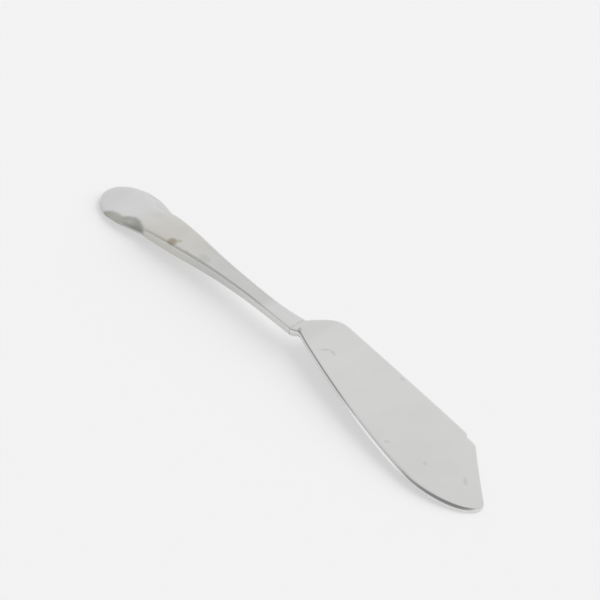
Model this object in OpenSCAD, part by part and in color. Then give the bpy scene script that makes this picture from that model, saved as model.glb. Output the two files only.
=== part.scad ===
// Butter knife with a hollow handle, lying on a table on its terminal and its tip.
// X runs from the terminal to the tip, +Y is the spine side, and Z = 0 is the table.
// The origin is on the table, midway between the terminal's end and the tip.

/* [Handle] */
// Length of the handle, from the terminal's end to its mouth
handle_l = 99.4; // [96:0.2:102]
// Height of the handle's seam at the neck over its height at the terminal
arch_rise = 5.9; // [5:0.1:7]
// Half width of the terminal at its widest
terminal_r = 9.1; // [8.6:0.1:9.8]
// Length from the terminal's end to its widest place
terminal_l = 13; // [11:0.5:15]
// Thickness of the stamped sheet
wall = 0.5; // [0.4:0.05:0.6]
// Gap between the two halves, filled with solder
seam_gap = 0.12; // [0.08:0.01:0.2]

/* [Blade] */
// Length of the blade, from the bolster's face to the tip
leaf_l = 78.2; // [72:0.2:84]
// Thickness of the leaf
leaf_t = 1.5; // [1.2:0.1:1.8]
// Width of the leaf at its widest
leaf_w = 24.4; // [23:0.2:26]
// Depth of the leaf's underside below the handle's seam, at the bolster
heel_drop = 0.7; // [0.5:0.1:0.9]
// Width of the round on the cutting edge
edge_w = 1.1; // [0.6:0.1:1.4]
// Depth of the round on the cutting edge
edge_d = 0.6; // [0.3:0.1:0.8]
// Length of the tang inside the handle
tang_l = 38; // [25:1:44]

/* [Joints] */
// Thickness of the solder ring at the handle's mouth
mouth_solder_t = 0.4; // [0.3:0.1:0.6]
// Clearance that keeps soldered and cemented faces apart
skin = 0.03; // [0.02:0.01:0.05]

/* [Hidden] */

// Places along the handle behind the terminal: x, half width, height over the seam, depth under it
body_stations = [
    [terminal_l, terminal_r, 1.6, 1.15],
    [18, 8.9, 1.75, 1.3],
    [22, 8.2, 2.0, 1.5],
    [26, 7.35, 2.3, 1.75],
    [31, 6.45, 2.55, 2.0],
    [39, 5.75, 2.7, 2.2],
    [47, 5.0, 2.6, 2.25],
    [56, 4.05, 2.3, 2.1],
    [66, 3.2, 2.0, 1.9],
    [78, 2.65, 1.8, 1.75],
    [88, 2.5, 1.7, 1.65],
    [94, 2.65, 1.65, 1.5],
    [handle_l, 3.05, 1.7, 1.35]
];
terminal_edge = [0.75, 0.7];    // height and depth of the terminal at its very end
terminal_turn = 9;              // angle on the terminal's ellipse where its small flat end begins
terminal_steps = 8;
body_steps = 28;
arc_steps = 12;                 // sides of half a cross-section
section_power = 2.4;            // 2 is an ellipse, more is fuller
foot_power = 3;                 // the underside is flatter, so the terminal stands firm
arch_start = 8;                 // where the seam begins to rise
arch_end = 97;                  // where it is level again
sway_start = 86;                // from here on the neck leans towards the spine
sway_y = 0.5;                   // how far it leans at the mouth
cement_gap = 0.6;               // the cement ends this far inside the mouth

bolster_x = handle_l + mouth_solder_t;
overall_l = bolster_x + leaf_l;
half_leaf = leaf_w / 2;
steps = terminal_steps + body_steps;

// Lift of the seam over its lowest height
function lift(x) =
    let (a = min(max((x - arch_start) / (arch_end - arch_start), 0), 1))
    arch_rise * (1 - pow(1 - a, 2));

// Sideways lean of the handle's middle
function sway(x) = sway_y * pow(max((x - sway_start) / (handle_l - sway_start), 0), 2);

// A smooth curve through column c of the stations
function slope(c, i) =
    let (lo = max(i - 1, 0), hi = min(i + 1, len(body_stations) - 1))
    (body_stations[hi][c] - body_stations[lo][c]) / (body_stations[hi][0] - body_stations[lo][0]);
function along(c, x, i = 0) =
    i < len(body_stations) - 2 && x > body_stations[i + 1][0] ? along(c, x, i + 1) :
    let (
        p = body_stations[i],
        q = body_stations[i + 1],
        d = q[0] - p[0],
        t = (x - p[0]) / d
    )
    p[c] * (2 * pow(t, 3) - 3 * pow(t, 2) + 1) + q[c] * (3 * pow(t, 2) - 2 * pow(t, 3))
    + d * slope(c, i) * (pow(t, 3) - 2 * pow(t, 2) + t)
    + d * slope(c, i + 1) * (pow(t, 3) - pow(t, 2));

// Station number i of the handle, inset by w: x, half width, height, depth.
// The terminal's stations lie on half an ellipse, the others on the curves above.
function terminal_station(turn, w) =
    let (
        f = (cos(terminal_turn) - cos(turn)) / cos(terminal_turn),
        s = sin(turn),
        top = terminal_edge[0] + (along(2, terminal_l) - terminal_edge[0]) * s,
        bottom = terminal_edge[1] + (along(3, terminal_l) - terminal_edge[1]) * s
    )
    [w + (terminal_l - w) * f, (terminal_r - w) * s, top - w, bottom - w];
function station(i, w, end = handle_l) =
    i < terminal_steps
    ? terminal_station(terminal_turn + (90 - terminal_turn) * i / terminal_steps, w)
    : let (x = terminal_l + (end - terminal_l) * (i - terminal_steps) / body_steps)
      [x, along(1, x) - w, along(2, x) - w, along(3, x) - w];

// The lowest seam height, at which the underside of the terminal just touches the table
seam_base = -min([for (i = [0:steps]) lift(station(i, 0)[0]) - station(i, 0)[3]]);
function seam(x) = seam_base + lift(x);
heel_z = seam(handle_l) - heel_drop;
leaf_tilt = atan(heel_z / leaf_l);

// One point of a rounded section, by its turn from the +Y edge
function bend(v, power) = sign(v) * pow(abs(v), 2 / power);
function rim(s, turn) =
    let (
        top = turn <= 180,
        h = top ? s[2] : s[3],
        power = top ? section_power : foot_power
    )
    [s[0], sway(s[0]) + s[1] * bend(cos(turn), power), seam(s[0]) + h * bend(sin(turn), power)];
function section(s) = [for (k = [0:2 * arc_steps - 1]) rim(s, 180 * k / arc_steps)];

// Points of a cubic Bezier curve, without its last one
function bezier(a, b, c, d, n) = [
    for (k = [0:n - 1])
        let (t = k / n)
        pow(1 - t, 3) * a + 3 * t * pow(1 - t, 2) * b + 3 * t * t * (1 - t) * c + pow(t, 3) * d
];

function joined(lists) = [for (l = lists) each l];

// The sums above count X from the terminal's end, and this moves a piece to the knife's own origin
module centred() {
    translate([-overall_l / 2, 0, 0])
    children();
}

// A closed solid through rings that have the same number of points. Along +X a ring runs from +Y to +Z.
module loft(rings) {
    m = len(rings[0]);
    last = len(rings) - 1;
    sides = [
        for (i = [0:last - 1], j = [0:m - 1])
            let (k = (j + 1) % m)
            [i * m + j, (i + 1) * m + j, (i + 1) * m + k, i * m + k]
    ];
    ends = [[for (j = [0:m - 1]) j], [for (j = [m - 1:-1:0]) last * m + j]];
    polyhedron(joined(rings), joined([sides, ends]));
}

// Half of the handle's skin: side is 1 for the upper half and -1 for the lower one
module half_shell(side) {
    n = arc_steps;
    m = 2 * (n + 1);
    function edge(i, w) = [
        for (k = [0:n])
            let (p = rim(station(i, w), side * 180 * k / n + (side < 0 ? 360 : 0)))
            [p[0], p[1], p[2] + side * seam_gap / 2 * (1 - abs(sin(180 * k / n)))]
    ];
    function turned(list) = [for (k = [len(list) - 1:-1:0]) list[k]];
    points = joined([for (i = [0:steps]) concat(edge(i, 0), turned(edge(i, wall)))]);
    sides = [
        for (i = [0:steps - 1], j = [0:m - 1])
            let (k = (j + 1) % m)
            [i * m + j, i * m + k, (i + 1) * m + k, (i + 1) * m + j]
    ];
    outer_cap = [[for (k = [n:-1:0]) k]];
    inner_cap = [[for (k = [m - 1:-1:n + 1]) k]];
    lip = [[0, n, n + 1, m - 1]];
    z = steps * m;
    mouth = [for (k = [0:n - 1]) [z + k, z + k + 1, z + m - 2 - k, z + m - 1 - k]];
    faces = joined([sides, outer_cap, inner_cap, lip, mouth]);
    polyhedron(points, side < 0 ? faces : [for (f = faces) turned(f)]);
}

module handle_top_shell() {
    color([0.80, 0.80, 0.78])
    centred()
    half_shell(1);
}

module handle_bottom_shell() {
    color([0.74, 0.74, 0.72])
    centred()
    half_shell(-1);
}

// A flat ribbon that runs round the handle between its two halves
module seam_solder() {
    h = seam_gap / 2 - skin / 3;
    function cut(i, side) =
        let (o = station(i, 0), p = station(i, wall))
        [
            [p[0], sway(p[0]) + side * p[1], seam(p[0]) - h],
            [p[0], sway(p[0]) + side * p[1], seam(p[0]) + h],
            [o[0], sway(o[0]) + side * o[1], seam(o[0]) + h],
            [o[0], sway(o[0]) + side * o[1], seam(o[0]) - h]
        ];
    color([0.86, 0.85, 0.80])
    centred()
    loft(concat(
        [for (i = [steps:-1:0]) cut(i, 1)],
        [for (i = [0:steps]) cut(i, -1)]
    ));
}

// The tang follows the arch of the handle, and grows by g where it is cut out of the filling
tang_root = [1.4, 0.62];        // half width and half thickness at the bolster
tang_tip = [1.1, 0.5];          // the same at its far end
tang_steps = 8;
module tang(g = 0) {
    start = bolster_x - tang_l - g;
    stop = bolster_x + 1;
    loft([
        for (i = [0:tang_steps])
            let (
                t = i / tang_steps,
                x = start + (stop - start) * t,
                w = tang_tip[0] + (tang_root[0] - tang_tip[0]) * t + g,
                h = tang_tip[1] + (tang_root[1] - tang_tip[1]) * t + g,
                y = sway(x),
                z = seam(x)
            )
            [[x, y + w, z - h], [x, y + w, z + h], [x, y - w, z + h], [x, y - w, z - h]]
    ]);
}

module handle_cement() {
    color([0.62, 0.58, 0.50])
    centred()
    difference() {
        loft([for (i = [0:steps]) section(station(i, wall + skin, handle_l - cement_gap))]);
        tang(skin);
    }
}

// A ring of solder with the tang's hole in it
module mouth_solder() {
    s = station(steps, 0);
    hole = tang_root + [skin, skin];
    color([0.84, 0.83, 0.80])
    centred()
    difference() {
        translate([handle_l, 0, 0])
        rotate([90, 0, 90])
        linear_extrude(mouth_solder_t)
        polygon([for (p = section(s)) [p[1], p[2]]]);
        translate([handle_l - 1, sway_y - hole[0], seam(handle_l) - hole[1]])
        cube([mouth_solder_t + 2, 2 * hole[0], 2 * hole[1]]);
    }
}

// Outline of the leaf, with its origin at the tip: x is negative towards the handle
heel = [1.6 - leaf_l, -0.8];
belly = [-18.5, -half_leaf];
tip_low = [-0.15, -4.6];
tip_high = [-0.35, -2.3];
corner = [-14.8, 9.8];
notch = [-18.5, 10.3];
spine_end = [-19.6, 11.1];
spine_heel = [9.2 - leaf_l, half_leaf];
root_high = [0.8 - leaf_l, 5.2];
belly_points = joined([
    bezier(heel, heel + [16.6, -4.8], belly + [-17.5, 0.6], belly, 14),
    bezier(belly, belly + [5, -0.1], [-2.6, -9.8], tip_low, 10)
]);
rest_points = joined([
    bezier(tip_low, [0, -3.9], [0, -2.9], tip_high, 4),
    bezier(tip_high, [-4, 0.7], [-9, 4.6], corner, 5),
    bezier(corner, corner + [-0.6, 0.4], notch + [1, 0], notch, 3),
    bezier(notch, notch + [-0.5, 0], spine_end + [0.7, -0.2], spine_end, 4),
    bezier(spine_end, spine_end + [-4, 0.4], spine_heel + [10, 0], spine_heel, 6),
    bezier(spine_heel, spine_heel + [-4.2, 0], root_high + [4, 4.2], root_high, 8),
    [root_high, root_high + [0, -6.4], heel + [-0.3, -0.2]]
]);

// Cuts the round off the cutting edge: a wedge along the belly, on the upper face
module edge_cutter() {
    path = concat(belly_points, [tip_low, 2.5 * tip_low - 1.5 * belly_points[len(belly_points) - 1]]);
    n = len(path);
    over = 1.2;
    function way(i) =
        let (d = path[min(i + 1, n - 1)] - path[max(i - 1, 0)])
        [d[1], -d[0]] / norm(d);
    loft([
        for (i = [0:n - 1])
            let (
                p = path[i],
                q = p - way(i) * edge_w,
                r = p + way(i) * over,
                fall = edge_d * (1 + over / edge_w)
            )
            [
                [q[0], q[1], leaf_t + over],
                [r[0], r[1], leaf_t + over],
                [r[0], r[1], leaf_t - fall],
                [q[0], q[1], leaf_t]
            ]
    ]);
}

module leaf() {
    translate([overall_l, 0, 0])
    rotate([0, leaf_tilt, 0])
    difference() {
        linear_extrude(leaf_t)
        polygon(concat(belly_points, rest_points));
        edge_cutter();
    }
}

// The bolster swells from the neck's round section to the flat leaf: x, low y, high y, height
// over the leaf's underside, depth under it, fullness
bolster_stations = [
    [0, -2.5, 3.55, 2.5, 0.5, 2.4],
    [0.6, -2.2, 4.6, 2.5, 0.4, 2.6],
    [1.2, -1.7, 5.7, 2.3, 0.3, 3],
    [2.0, -1.1, 7.0, 2.0, 0.15, 4],
    [3.0, -1.0, 8.2, 1.65, 0.05, 6],
    [4.2, -1.3, 9.3, 1.4, -0.1, 8]
];
bolster_sides = 24;
module bolster() {
    loft([
        for (s = bolster_stations)
            let (
                x = bolster_x + s[0],
                base = heel_z - s[0] * tan(leaf_tilt),
                mid_y = (s[1] + s[2]) / 2,
                half_y = (s[2] - s[1]) / 2,
                mid_z = base + (s[3] - s[4]) / 2,
                half_z = (s[3] + s[4]) / 2
            )
            [
                for (k = [0:bolster_sides - 1])
                    let (a = 360 * k / bolster_sides)
                    [x, mid_y + half_y * bend(cos(a), s[5]), mid_z + half_z * bend(sin(a), s[5])]
            ]
    ]);
}

module blade() {
    color([0.83, 0.83, 0.83])
    centred()
    union() {
        leaf();
        bolster();
        tang();
    }
}

blade();
handle_top_shell();
handle_bottom_shell();
seam_solder();
mouth_solder();
handle_cement();
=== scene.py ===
import math

import bmesh
import bpy
import numpy as np
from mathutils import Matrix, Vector
from mathutils.geometry import interpolate_bezier


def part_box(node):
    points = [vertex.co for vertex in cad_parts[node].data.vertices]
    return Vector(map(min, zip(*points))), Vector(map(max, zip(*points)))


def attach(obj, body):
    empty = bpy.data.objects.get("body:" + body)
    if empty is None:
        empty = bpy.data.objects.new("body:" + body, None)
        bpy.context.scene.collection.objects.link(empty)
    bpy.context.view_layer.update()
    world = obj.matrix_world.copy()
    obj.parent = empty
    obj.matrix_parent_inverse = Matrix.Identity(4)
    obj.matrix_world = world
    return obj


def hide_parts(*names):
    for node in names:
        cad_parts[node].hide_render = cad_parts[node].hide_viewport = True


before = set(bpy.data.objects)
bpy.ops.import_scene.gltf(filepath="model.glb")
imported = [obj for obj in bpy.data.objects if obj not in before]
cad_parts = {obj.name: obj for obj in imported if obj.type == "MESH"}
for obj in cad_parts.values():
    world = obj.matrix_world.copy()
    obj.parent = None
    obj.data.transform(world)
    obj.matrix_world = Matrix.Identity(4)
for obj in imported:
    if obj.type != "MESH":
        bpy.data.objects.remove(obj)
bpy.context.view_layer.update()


# The view: the knife lies on a plain pale table and is seen from the rounded edge's side, a little from
# the tip's end. The lens is long, so the handle and the blade keep nearly their true proportions.
eye = Vector((0.20702, -0.16659, 0.25026))
target = Vector((-0.00413, 0.01414, 0.0))
camera = bpy.data.objects.new("camera", bpy.data.cameras.new("camera"))
bpy.context.scene.collection.objects.link(camera)
camera.location = eye
camera.rotation_euler = (target - eye).to_track_quat("-Z", "Y").to_euler()
camera.data.lens = 72
camera.data.sensor_width = 36
camera.data.clip_start = 0.01
bpy.context.scene.camera = camera
bpy.context.scene.view_settings.view_transform = "Standard"


# Shader arithmetic: a socket of one node tree that can be used in sums, so that each finish below reads
# as a few lines of maths. Every other node comes from its node method.
class Shade:
    def __init__(self, tree, socket=None):
        self.tree, self.socket = tree, socket

    def node(self, kind, settings=None, inputs=None, out=0):
        made = self.tree.nodes.new("ShaderNode" + kind)
        for name, value in (settings or {}).items():
            setattr(made, name, value)
        for name, value in (inputs or {}).items():
            if isinstance(value, Shade):
                self.tree.links.new(value.socket, made.inputs[name])
            else:
                made.inputs[name].default_value = value
        return Shade(self.tree, made.outputs[out])

    def parts(self):
        """The three parts of a vector."""
        split = self.node("SeparateXYZ", inputs={0: self}).socket.node
        return [Shade(self.tree, part) for part in split.outputs]

    def feed(self, target, name):
        """Link this to a named socket of a shader node."""
        self.tree.links.new(self.socket, target.inputs[name])

    def math(self, operation, *values):
        return self.node("Math", {"operation": operation}, dict(enumerate(values)))

    def __add__(self, other): return self.math("ADD", self, other)
    def __radd__(self, other): return self.math("ADD", other, self)
    def __sub__(self, other): return self.math("SUBTRACT", self, other)
    def __rsub__(self, other): return self.math("SUBTRACT", other, self)
    def __mul__(self, other): return self.math("MULTIPLY", self, other)
    def __rmul__(self, other): return self.math("MULTIPLY", other, self)

    def step(self, low, high, start=0.0, stop=1.0):
        """From start, where this is low, to stop, where it is high, along a soft step."""
        return self.node("MapRange", {"interpolation_type": "SMOOTHSTEP"},
                         {0: self, 1: low, 2: high, 3: start, 4: stop})

    def tint(self, one, other):
        """A colour: one where this is 0, other where it is 1."""
        inputs = {0: self, 6: one if isinstance(one, Shade) else (*one, 1),
                  7: other if isinstance(other, Shade) else (*other, 1)}
        return self.node("Mix", {"data_type": "RGBA"}, inputs, out=2)


# The table is one sheet of smooth white board that glows a little, so shadows on it stay pale. An even tent
# lights it, brighter at the horizon, with two dimmer patches in front of the knife, and a broad lamp on the
# spine's side, which isn't reflected in the metal, gives the soft shadow.
board_half = 2.0
board_drop = 0.00002                        # keeps the board just clear of the knife's lowest points
board = bmesh.new()
bmesh.ops.create_grid(board, x_segments=2, y_segments=2, size=board_half)
bmesh.ops.translate(board, verts=board.verts, vec=(0, 0, -board_drop))
board_mesh = bpy.data.meshes.new("table")
board.to_mesh(board_mesh)
board.free()
table = bpy.data.objects.new("table", board_mesh)
bpy.context.scene.collection.objects.link(table)
board_finish = bpy.data.materials.new("white_board")
board_finish.use_nodes = True
board_shader = board_finish.node_tree.nodes["Principled BSDF"]
board_shader.inputs["Base Color"].default_value = (0.22, 0.22, 0.22, 1)
board_shader.inputs["Emission Color"].default_value = (1, 1, 1, 1)
board_shader.inputs["Emission Strength"].default_value = 0.525
board_shader.inputs["Roughness"].default_value = 0.9
board_shader.inputs["Specular IOR Level"].default_value = 0.1
table.data.materials.append(board_finish)

dim_patches = (((-0.57, -0.67, 0.48), 0.50), ((0.45, -0.65, 0.60), 0.40))   # where, and how bright
patch_rim, patch_middle = 0.72, 0.96        # cosines of the angles at which a patch begins and is full
tent = bpy.data.worlds.new("white_tent")
bpy.context.scene.world = tent
tent.use_nodes = True
tent.node_tree.nodes.clear()
sky = Shade(tent.node_tree)
toward = sky.node("TexCoord")
height = toward.parts()[2]
horizon = height.step(0.0, 0.22, 1.35, 1.10)
overhead = height.step(0.74, 0.92, 1.0, 0.82)
glow = horizon * overhead
for side, brightness in dim_patches:
    facing = toward.node("VectorMath", {"operation": "DOT_PRODUCT"},
                         {0: toward, 1: Vector(side).normalized()}, out=1)
    glow = glow * facing.step(patch_rim, patch_middle, 1.0, brightness)
light = sky.node("Background", inputs={"Strength": glow})
light.feed(tent.node_tree.nodes.new("ShaderNodeOutputWorld"), "Surface")

lamp_falls = Vector((-0.52, -0.59, -0.62))
lamp = bpy.data.objects.new("lamp", bpy.data.lights.new("lamp", "SUN"))
bpy.context.scene.collection.objects.link(lamp)
lamp.data.energy = 4.9
lamp.data.angle = math.radians(60)
lamp.visible_glossy = False
lamp.rotation_euler = lamp_falls.to_track_quat("-Z", "Y").to_euler()


# The blade is one forging of stainless steel, ground flat on both faces and satin polished: a thin leaf
# with a straight, notched spine and a bellied, rounded edge, the bolster that swells out of the neck, and
# a tang that runs back into the handle and is held there by cement. All sizes here are in millimetres.
leaf_t = 1.5
leaf_half = 12.2
heel_drop = 0.7                             # from the seam at the handle's mouth down to the leaf's root
tang_l = 38
terminal_l = 13                             # from the handle's end to its widest place
half_seam = 0.06                            # the solder in the seam is twice as high
neck_power = 8                              # 2 is an ellipse, and more is boxier
swell_up, swell_down = 0.9, 0.65            # how far the bolster's neck end stands above and below the leaf

rings = {}
for name, side in (("handle_top_shell", 1), ("handle_bottom_shell", -1)):
    corners = np.array([v.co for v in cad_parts[name].data.vertices]) * 1000
    for x, y, z in corners.round(3):
        rings.setdefault(x, {1: [], -1: []})[side].append((y, z))
end_x = min(rings)
widest_x = end_x + terminal_l
mouth_x = max(rings)
root_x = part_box("mouth_solder")[1].x * 1000
tip_limit = 0.03 - end_x                    # the furthest that the tip may reach
body_x = [x for x in sorted(rings) if x > widest_x - 0.01]


def shell_sizes(x, side):
    """Middle, half width, seam height and outermost height of one shell at one of its stations."""
    y, z = np.array(rings[x][side]).T
    outermost = z.max() if side > 0 else z.min()
    return (y.max() + y.min()) / 2, (y.max() - y.min()) / 2, z[y.argmax()] - side * half_seam, outermost


def curve(places, values, x):
    """A smooth curve through values at rising places."""
    places, values = np.array(places, float), np.array(values, float)
    slopes = np.gradient(values, places)
    i = np.clip(np.searchsorted(places, x) - 1, 0, len(places) - 2)
    gap = places[i + 1] - places[i]
    t = (x - places[i]) / gap
    return ((values[i] * (1 + 2 * t) + gap * slopes[i] * t) * (1 - t) ** 2
            + (values[i + 1] * (3 - 2 * t) - gap * slopes[i + 1] * (1 - t)) * t * t)


def soft(value, low, high):
    """A soft step from 0 at low to 1 at high."""
    t = np.clip((value - low) / (high - low), 0, 1)
    return t * t * (3 - 2 * t)


def boxy(circle, power):
    """A cosine or sine that runs round a boxier section than a circle when power is below 1."""
    return np.sign(circle) * np.abs(circle) ** power


def bent_sheet(name, points, painted_shade=None, sharp=38):
    """A piece made from a flat grid of faces, whose corners are bent to points (in mm) and whose meeting
    edges are welded. Rows of points run along the knife and columns run round it. Edges that bend more
    than sharp, in degrees, stay crisp."""
    rows, columns = points.shape[:2]
    sheet = bmesh.new()
    bmesh.ops.create_grid(sheet, x_segments=rows - 1, y_segments=columns - 1, size=1)
    painted_shade_layer = sheet.verts.layers.float.new("painted_shade")
    for corner in sheet.verts:
        row = round((corner.co.x + 1) / 2 * (rows - 1))
        column = round((corner.co.y + 1) / 2 * (columns - 1))
        corner.co = points[row, column] / 1000
        corner[painted_shade_layer] = 0 if painted_shade is None else painted_shade[row, column]
    bmesh.ops.remove_doubles(sheet, verts=sheet.verts, dist=1e-6)
    bmesh.ops.dissolve_degenerate(sheet, edges=sheet.edges, dist=1e-7)
    bmesh.ops.holes_fill(sheet, edges=[edge for edge in sheet.edges if edge.is_boundary], sides=0)
    bmesh.ops.recalc_face_normals(sheet, faces=sheet.faces)
    for face in sheet.faces:
        face.smooth = True
    for edge in sheet.edges:
        edge.smooth = edge.calc_face_angle(0) < math.radians(sharp)
    mesh = bpy.data.meshes.new(name)
    sheet.to_mesh(mesh)
    sheet.free()
    piece = bpy.data.objects.new(name, mesh)
    bpy.context.scene.collection.objects.link(piece)
    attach(piece, "root")
    return piece


seam_xs = sorted(x for x in rings if rings[x][1])
seam_zs = [shell_sizes(x, 1)[2] for x in seam_xs]
body_mid, body_half, _, body_top = np.array([shell_sizes(x, 1) for x in body_x]).T
body_low = np.array([shell_sizes(x, -1)[3] for x in body_x])
heel_z = seam_zs[-1] - heel_drop
leaf_reach = -end_x - root_x                # from the root to the tip, seen from above
tilt = math.atan2(heel_z, leaf_reach)
root = -leaf_reach / math.cos(tilt)         # the root's place along the leaf, by its distance from the tip


def outline(*spans):
    """Points of the leaf's outline along Bezier spans, by their distance from the tip, which is negative."""
    found = []
    for a, b, c, d in spans:
        found += interpolate_bezier(Vector(a), Vector(b), Vector(c), Vector(d), 60)[:-1]
    return np.array([tuple(p)[:2] for p in found + [Vector(spans[-1][3])]])


low_edge = np.vstack([
    [(root, -2.5), (root + 0.6, -2.3), (root + 1.2, -1.85), (root + 1.8, -1.25), (root + 2.5, -1.12)],
    outline(((-75.6, -1.1), (-60, -5.6), (-36, -11.6), (-18.5, -12.2)),
            ((-18.5, -12.2), (-13.5, -12.3), (-2.6, -9.8), (-0.15, -4.6)),
            ((-0.15, -4.6), (-0.04, -4.1), (0, -3.8), (0, -3.4)))])
high_edge = np.vstack([
    [(root, 3.5), (root + 0.4, 4.05), (root + 0.8, 4.75), (root + 1.2, 5.55)],
    outline(((-76.9, 6.1), (-74.4, 9.8), (-73.2, 12.2), (-69, 12.2)),
            ((-69, 12.2), (-59, 12.2), (-23.6, 11.5), (-19.6, 11.1)),
            ((-19.6, 11.1), (-18.9, 10.9), (-19.0, 10.3), (-18.5, 10.3)),
            ((-18.5, 10.3), (-17.5, 10.3), (-15.4, 10.2), (-14.8, 9.8)),
            ((-14.8, 9.8), (-9, 4.6), (-4, 0.7), (-0.35, -2.3)),
            ((-0.35, -2.3), (-0.1, -2.7), (0, -3.0), (0, -3.4)))])

# rows of points along the leaf, closest together at the bolster, the notch and the tip
along = np.concatenate([
    root + np.linspace(0, 6, 26), np.linspace(root + 6.8, -20.4, 62), np.linspace(-20, -14, 30),
    np.linspace(-13.5, -2, 28),
    [-1.6, -1.25, -0.95, -0.7, -0.5, -0.36, -0.25, -0.16, -0.09, -0.045, -0.015, 0]])
low_y = np.maximum(np.interp(along, low_edge[:, 0], low_edge[:, 1]), -leaf_half)
high_y = np.interp(along, high_edge[:, 0], high_edge[:, 1])
from_neck = along - root

# the leaf's section: a rim that leans in a little, a rounded low edge that widens to the tip, and a spine
# with its corners broken
narrow = np.clip((high_y - low_y) / 2.4, 0, 1)      # the edges shrink where the leaf runs out
edge_w = (0.34 + 0.36 * soft(from_neck, 44, 76)) * narrow
edge_d = 0.36 + 0.34 * soft(from_neck, 44, 76)
edge_crown = 0.10
rim_h = 0.16                                        # height at which the low edge's rim begins
rim_in = 0.14 * narrow
nick = 0.07 * narrow
nick_h = 0.04
rim_to = (0, 0.4, 0.7, 0.9)
edge_to = (0, 0.07, 0.25, 0.5, 0.75, 0.93)
under_steps, face_steps = 14, 30
none, full = np.zeros(len(along)), np.full(len(along), leaf_t)


def across(start, stop, count):
    """Even steps from start up to, but without, stop."""
    return [(1 - t) * start + t * stop for t in np.linspace(0, 1, count + 1)[:-1]]


ring_y = np.array(
    across(high_y - nick, low_y + nick, under_steps)
    + [low_y + nick, low_y + 0.25 * nick]
    + [low_y + rim_in * t * t for t in rim_to]
    + [low_y + rim_in + edge_w * t for t in edge_to]
    + across(low_y + rim_in + edge_w, high_y - nick, face_steps)
    + [high_y - nick, high_y - 0.25 * nick, high_y, high_y, high_y - 0.25 * nick, high_y - nick]).T
ring_h = np.array(
    across(none, none, under_steps)
    + [none, none + nick_h]
    + [rim_h + (leaf_t - edge_d - rim_h) * t for t in rim_to]
    + [leaf_t - edge_d * (1 - t - edge_crown * math.sin(math.pi * t)) for t in edge_to]
    + across(full, full, face_steps)
    + [full, full - 0.02, full - 0.07, none + rim_h, none + nick_h, none]).T

# the bolster: the ring turns from the neck's rounded section into the leaf's flat one
swell_top = leaf_t + swell_up * (1 - soft(from_neck, -1, 7))
swell_low = -swell_down * (1 - soft(from_neck, -0.4, 3.6))
swell_mid, swell_half = ((swell_top + swell_low) / 2)[:, None], ((swell_top - swell_low) / 2)[:, None]
mid_y, half_y = ((high_y + low_y) / 2)[:, None], ((high_y - low_y) / 2)[:, None]
turn = np.arctan2(ring_h / leaf_t * 2 - 1, (ring_y - mid_y) / np.maximum(half_y, 1e-6))
neck_y = mid_y + half_y * boxy(np.cos(turn), 2 / neck_power)
neck_h = swell_mid + swell_half * boxy(np.sin(turn), 2 / neck_power)
leaf_h = swell_low[:, None] + ring_h / leaf_t * (swell_top - swell_low)[:, None]
spread = soft(from_neck, 0.2, 5.0)[:, None]
ring_y = neck_y * (1 - spread) + ring_y * spread
ring_h = neck_h * (1 - spread) + leaf_h * spread
lean = soft(from_neck, 0, 5)[:, None] * math.sin(tilt)
leaf_x = np.minimum(-end_x + along[:, None] * math.cos(tilt) + ring_h * lean, tip_limit)
leaf_z = -along[:, None] * math.sin(tilt) + ring_h * math.cos(tilt)
leaf = np.stack([leaf_x, ring_y, leaf_z], axis=2)

# the tang: the neck's ring shrinks to a small bar that follows the handle's seam
tang_rows, tang_power = 14, 0.4
tang_x = np.linspace(root_x - tang_l, root_x - 0.02, tang_rows)
tang_w, tang_h = np.linspace(1.1, 1.4, tang_rows), np.linspace(0.5, 0.62, tang_rows)
tang_y = np.interp(tang_x, body_x, body_mid)
tang_z = curve(seam_xs, seam_zs, tang_x)
tang = np.stack([np.repeat(tang_x[:, None], len(turn[0]), 1),
                 tang_y[:, None] + tang_w[:, None] * boxy(np.cos(turn[0]), tang_power),
                 tang_z[:, None] + tang_h[:, None] * boxy(np.sin(turn[0]), tang_power)], axis=2)
steel_points = np.concatenate([tang, leaf])
blade = bent_sheet("blade_forging", np.concatenate([steel_points, steel_points[:, :1]], axis=1))


def in_millimetres(material):
    """A new material's shader node, and the knife's own place, x and y in millimetres."""
    material.use_nodes = True
    start = Shade(material.node_tree)
    place = start.node("VectorMath", {"operation": "SCALE"}, {0: start.node("TexCoord", out=3), 3: 1000.0})
    x, y, _ = place.parts()
    return material.node_tree.nodes["Principled BSDF"], place, x, y


def blot(x, y, at_x, at_y, long, wide, angle=0.0, edge=0.5):
    """1 inside an oval spot on the upper face, 0 outside it."""
    c, s = math.cos(math.radians(angle)), math.sin(math.radians(angle))
    u = ((x - at_x) * c + (y - at_y) * s) * (1 / long)
    v = ((y - at_y) * c - (x - at_x) * s) * (1 / wide)
    return (u * u + v * v).step(1 - edge, 1 + edge, 1.0, 0.0)


def noise(place, size, stretch=(1, 1, 1), detail=4.0, rough=0.55):
    """Noise with features of about size mm, stretched along the axes."""
    scaled = place.node("Mapping", inputs={"Vector": place, "Scale": stretch})
    return scaled.node("TexNoise", inputs={"Vector": scaled, "Scale": 1 / size, "Detail": detail,
                                           "Roughness": rough})


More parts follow.
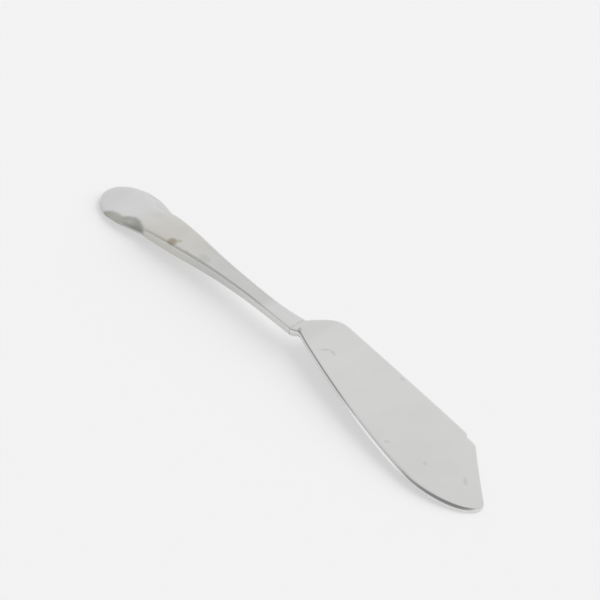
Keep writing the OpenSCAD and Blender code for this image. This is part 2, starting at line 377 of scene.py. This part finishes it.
steel_cool, steel_warm = (0.760, 0.765, 0.755), (0.785, 0.780, 0.775)
steel_marks = ((58.1, -8.1, 0.8, 0.5, 30), (69.8, -5.2, 0.7, 0.5, 0), (80.6, -0.9, 1.3, 0.55, -35),
               (22.8, 0.8, 1.5, 0.42, 50), (25.0, 1.7, 1.2, 0.42, -12))     # x, y, length, width, angle
satin = bpy.data.materials.new("satin_steel")
shader, place, x, y = in_millimetres(satin)
cloud = noise(place, 14, detail=3)
smear = noise(place, 5, (1, 0.6, 1), detail=2)
wobble = noise(place, 1.2, detail=2)
near_x, near_y = x + (wobble - 0.5) * 0.8, y + (wobble - 0.5) * 0.8
colour = cloud.step(0.35, 0.65).tint(steel_cool, steel_warm)
dark_marks = blot(near_x, near_y, 44.6, 10.8, 0.8, 0.5)
for at_x, at_y, long, wide, angle in steel_marks:
    dark_marks = dark_marks.math("MAXIMUM", dark_marks, blot(near_x, near_y, at_x, at_y, long, wide, angle))
colour = (dark_marks * 0.17).tint(colour, (0.42, 0.40, 0.38))
# painted shade: the crease where the bolster's near side meets the leaf's edge is painted darker
heel_crease_shade = blot(near_x, near_y, 12.8, -0.4, 0.95, 0.42, angle=-45)
colour = (heel_crease_shade * 0.7).tint(colour, (0.42, 0.42, 0.42))
_, face_y, face_z = x.node("NewGeometry", out=1).parts()
toward_edge = face_y.step(-0.7, -0.3, 1.0, 0.0)
# painted highlight: the side of the rounded edge is painted near white along the blade's middle, a painted
# reflection
painted_edge_highlight = toward_edge * x.step(36, 50) * x.step(62, 72, 1.0, 0.0)
colour = painted_edge_highlight.tint(colour, (1.0, 1.0, 1.0))
# painted shade: the rounded edge's upper bevel is painted darker near the heel and the tip, a painted dark
# reflection
painted_bevel_shade = x.step(34, 48, 0.65, 0.0) + x.step(64, 78, 0.0, 0.8)
colour = (toward_edge * face_z.step(0.35, 0.6) * painted_bevel_shade).tint(colour, (0.40, 0.40, 0.40))
hair = noise(place, 0.7, (0.04, 1, 0.1), detail=1)
bump = hair.node("Bump", inputs={"Strength": 0.06, "Distance": 0.00002, "Height": hair + smear * 0.6})
shader.inputs["Metallic"].default_value = 1.0
colour.feed(shader, "Base Color")
(smear.step(0.3, 0.7, 0.29, 0.37) + dark_marks * 0.15).feed(shader, "Roughness")
bump.feed(shader, "Normal")
blade.data.materials.append(satin)
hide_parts("blade")


# The handle is two halves stamped from nickel silver sheet, soldered edge to edge and silver plated. The
# upper half carries the ornament: a lobed border round the terminal, a scroll on each side where the
# terminal turns into the neck, and a thread along each edge. The plate is worn; the dark near side of the
# terminal's sunk border is painted shade, a painted reflection of the dim surroundings in front.
wall = 0.5
end_top, end_low = 0.75, 0.70               # how far the terminal's very end stands above and below the seam
terminal_power, middle_more, neck_more = 2.8, 3.2, neck_power - 6
relief_depth = 0.45


def handle_sizes(x):
    """Middle, half width, seam, height and depth of the whole handle at each x."""
    into_terminal = np.clip((x - end_x) / (widest_x - end_x), 0, 1)
    sine = np.sqrt(1 - (1 - into_terminal) ** 2)
    on_body = np.maximum(x, widest_x)
    body_seam = curve(seam_xs, seam_zs, on_body)
    top = curve(body_x, body_top, on_body) - body_seam
    low = body_seam - curve(body_x, body_low, on_body)
    blunt = np.clip(sine / 0.35, 0, 1) ** 0.5
    top = (end_top + (top - end_top) * sine) * blunt
    low = (end_low + (low - end_low) * sine) * blunt
    half = curve(body_x, body_half, on_body) * sine
    return curve(body_x, body_mid, on_body), half, curve(seam_xs, seam_zs, x), top, low


def half_handle(side, relief=None):
    """Points of one stamped half, its outer face and then its inner one, a wall's thickness further in."""
    outer_turns = np.radians(np.linspace(0, 180, 61))
    inner_turns = np.radians(np.linspace(180, 0, 25))
    round_end = end_x + terminal_l * (1 - np.cos(np.radians(np.linspace(0, 86, 54))))
    steps = np.concatenate([round_end, np.linspace(widest_x, mouth_x, 210)])
    loops = []
    for angles, inset in ((outer_turns, 0.0), (inner_turns, wall)):
        inside = np.minimum(steps + inset * soft(widest_x - steps, 0, terminal_l), mouth_x)
        middle, half, seam, top, low = (v[:, None] for v in handle_sizes(inside))
        tall = np.maximum((top if side > 0 else low) - inset, 0.02)
        wide = np.maximum(half - inset, 0)
        from_end = inside - end_x
        power = 2 / (terminal_power + middle_more * soft(from_end, 28, 36)
                     + neck_more * soft(from_end, 80, 94))[:, None]
        y = middle + wide * boxy(np.cos(angles)[None, :], power)
        rise = tall * np.abs(np.sin(angles)[None, :]) ** power
        xs = np.repeat(inside[:, None], len(angles), 1)
        # how much painted shade each point gets from the relief; none without it
        dark_marks = np.zeros(xs.shape)
        if relief:
            change, dark_marks = relief(xs, y, half, rise)
            rise = rise + change
        lip = half_seam * (1 - soft(rise, 0, 0.4))
        z = np.maximum(seam + side * (lip + rise), inset)
        loops.append(np.stack([xs, y, z, dark_marks], axis=2))
    loop = np.concatenate(loops + [loops[0][:, :1]], axis=1)
    return loop[:, :, :3], loop[:, :, 3]


def ornament(x, y, half, rise):
    """The relief's height over the plain form, in mm, and how much painted shade its sunk border gets."""
    from_end = x - end_x
    off = np.abs(y)
    border = np.interp(from_end, [0, 8, 10, 12.5, 15, 18.2, 20, 22.7, 25.6, 28, 31.5, 34],
                       [9, 8.6, 8.2, 6.4, 5.9, 5.9, 4.6, 3.5, 3.9, 4.9, 6.2, 7])
    room = np.maximum(half - border, 0.01)
    brim = np.array([np.interp(at, row_off[row_off.argmin():], row_rise[row_off.argmin():])
                     for at, row_off, row_rise in zip(border[:, 0], off, rise)])[:, None]
    bevel = 0.35 + (brim - 0.35) * np.clip((half - off) / room, 0, 1)
    fall = (soft(off - border, -0.3, 0.5) * soft(half - border, 0.2, 1.0)
            * soft(from_end, 7, 10) * (1 - soft(from_end, 29, 33)))
    off_lip = soft(rise, 0.1, 0.7)
    change = -np.clip(rise - bevel, 0, relief_depth) * fall
    thread = (np.exp(-((off - 0.74 * half) / (0.075 * half + 0.10)) ** 2)
              * soft(from_end, 48, 54) * (1 - soft(from_end, 80, 90)))
    change = change + 0.10 * thread * off_lip
    scroll = np.hypot(from_end - 50.5, off - 3.6)
    change = change + 0.12 * np.exp(-(scroll / 0.7) ** 2) * off_lip
    dent = np.exp(-((from_end - 28.4) ** 2 + (y - 1.5) ** 2) / 3.0)
    return change - 0.14 * dent, fall * soft(off - border, -0.4, 1.3)


top_half = bent_sheet("handle_top", *half_handle(1, ornament))
low_half = bent_sheet("handle_underside", *half_handle(-1))

silver_terminal, silver_neck = (0.745, 0.745, 0.745), (0.77, 0.77, 0.767)
silver_middle = (0.690, 0.695, 0.675)
flank_painted_shade, flank_painted_light = (0.64, 0.645, 0.63), (0.76, 0.76, 0.75)
painted_shade_pale, painted_shade_deep = (0.50, 0.50, 0.46), (0.42, 0.425, 0.385)
plate = bpy.data.materials.new("worn_silver_plate")
shader, place, x, y = in_millimetres(plate)
x = x - end_x                               # from here on, x is the distance from the terminal's end
cloud = noise(place, 9, detail=4)
fine = noise(place, 1.3, detail=5)
wobble = (fine - 0.5) * 1.6
near_x, near_y = x + wobble, y + wobble
# painted light: the neck and the terminal are painted lighter than the middle, a painted reflection where
# the handle curves
grey = x.step(84, 90).tint(silver_middle, silver_neck)
grey = x.step(24, 33).tint(silver_terminal, grey)
# painted light and shade: faces that turn down to the sides get their own grey, darker at the terminal,
# lighter at the neck
upward = x.node("NewGeometry", out=1).parts()[2]
painted_flank_tone = x.step(60, 92).tint(flank_painted_shade, flank_painted_light)
grey = upward.step(0.1, 0.6).tint(painted_flank_tone, grey)
warm = blot(near_x, near_y, 40, -0.5, 15, 7, edge=0.6)
grey = (warm * cloud.step(0.25, 0.75, 0.5, 1.0)).tint(grey, (0.70, 0.68, 0.64))
# painted shade: the sunk border is painted darker on the near side only, paler at the terminal's end, a
# painted dark reflection
relief_painted_shade = (x.node("Attribute", {"attribute_name": "painted_shade"}, out=2)
                  * y.step(-1, 0, 1.0, 0.1) * cloud.step(0.2, 0.7, 0.75, 1.0))
grey = (relief_painted_shade * 0.95).tint(grey, x.step(14, 28).tint(painted_shade_pale, painted_shade_deep))
spot = blot(near_x, near_y, 43.3, -4.0, 1.8, 1.5, edge=0.8)
arm = blot(near_x, near_y, 44.6, -2.6, 1.5, 0.8, angle=45, edge=0.8)
brown = spot.math("MAXIMUM", spot, arm * 0.6) * upward.step(0.3, 0.7) * 0.75
grey = brown.tint(grey, (0.43, 0.375, 0.28))
grey = (blot(near_x, near_y, 57.5, -1.8, 2.4, 1.5, edge=0.9) * 0.4).tint(grey, (0.52, 0.50, 0.475))
grey = (blot(near_x, near_y, 28.4, 1.5, 2.2, 1.6, edge=0.9) * 0.3).tint(grey, (0.62, 0.63, 0.63))
scratches = noise(place, 0.6, (0.15, 1, 1), detail=2)
bump = fine.node("Bump", inputs={"Strength": 0.2, "Distance": 0.00003, "Height": fine + scratches * 0.3})
shader.inputs["Metallic"].default_value = 1.0
grey.feed(shader, "Base Color")
(cloud.step(0.3, 0.7, 0.42, 0.50) + relief_painted_shade * 0.05 + spot * 0.1).feed(shader, "Roughness")
bump.feed(shader, "Normal")
for half, node in ((top_half, "handle_top_shell"), (low_half, "handle_bottom_shell")):
    half.data.materials.append(plate)
    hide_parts(node)


# Solder fills the hairline between the two halves and the ring between the handle's mouth and the
# bolster. Both are silver solder, filed flush, and a little duller and greyer than the plate.
ring_x = np.array([mouth_x, mouth_x, root_x, root_x, mouth_x])
ring = np.stack([tang[-1], leaf[0], leaf[0], tang[-1], tang[-1]])
ring[:, :, 0] = ring_x[:, None]
mouth_ring = bent_sheet("mouth_solder_ring", np.concatenate([ring, ring[:, :1]], axis=1))
solder = bpy.data.materials.new("filed_solder")
shader, place, _, _ = in_millimetres(solder)
grain = noise(place, 0.4, detail=4)
shader.inputs["Metallic"].default_value = 1.0
grain.step(0.3, 0.7).tint((0.66, 0.66, 0.65), (0.73, 0.73, 0.72)).feed(shader, "Base Color")
grain.step(0.3, 0.7, 0.38, 0.5).feed(shader, "Roughness")
mouth_ring.data.materials.append(solder)
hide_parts("mouth_solder")
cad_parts["seam_solder"].data.materials.clear()
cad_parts["seam_solder"].data.materials.append(solder)


# Cement fills the handle and grips the tang. It is a baked rosin and brick dust filling, cast in place,
# and is only seen when the knife is cut open.
cement = bpy.data.materials.new("handle_cement")
shader, place, _, _ = in_millimetres(cement)
grit = noise(place, 0.5, detail=6, rough=0.7)
grit.step(0.3, 0.7).tint((0.34, 0.27, 0.20), (0.52, 0.44, 0.34)).feed(shader, "Base Color")
grit.step(0.3, 0.7, 0.8, 0.95).feed(shader, "Roughness")
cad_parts["handle_cement"].data.materials.clear()
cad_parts["handle_cement"].data.materials.append(cement)
